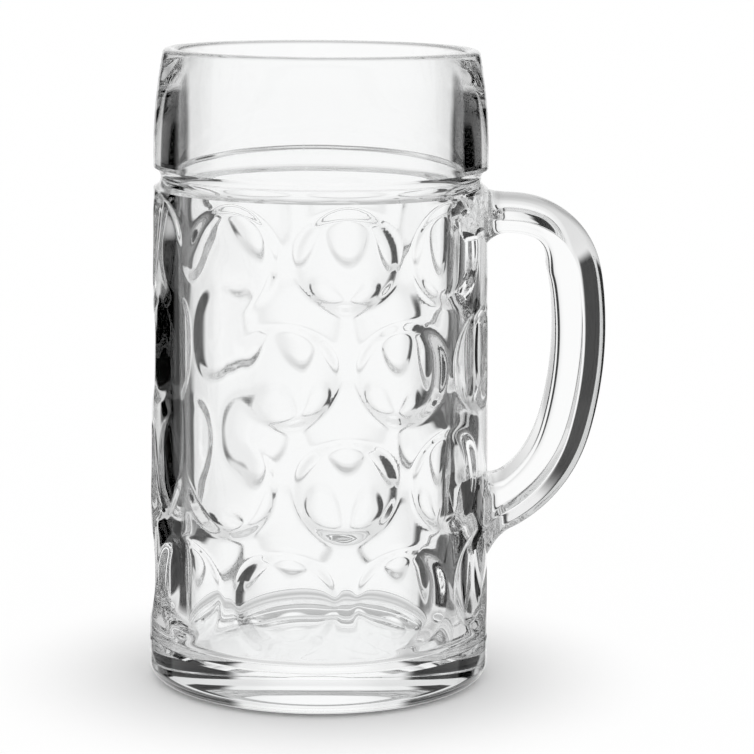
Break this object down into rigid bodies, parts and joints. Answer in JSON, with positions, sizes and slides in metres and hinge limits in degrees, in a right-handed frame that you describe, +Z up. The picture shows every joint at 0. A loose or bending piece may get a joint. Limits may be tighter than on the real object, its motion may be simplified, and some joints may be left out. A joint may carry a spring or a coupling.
{
  "type": "plastic tankard",
  "caption": "Clear dimpled drinking tankard: thick-walled barrel with a plain lip band, rows of dished dimples and a label panel, a welded base and a bonded loop handle.",
  "frame": {"origin": "middle of the foot ring, on the plane that the tankard stands on", "axes": "+Z up along the barrel's axis, +X towards the handle, +Y to the left of the handle seen from outside"},
  "size_m": [0.1458, 0.1096, 0.202],
  "materials": {
    "clear_barrel": "clear polished moulding",
    "clear_base": "clear polished moulding",
    "clear_handle": "clear polished moulding"
  },
  "bodies": {
    "root": {"barrel": "clear_barrel", "base_cap": "clear_base", "handle": "clear_handle"}
  },
  "joints": []
}
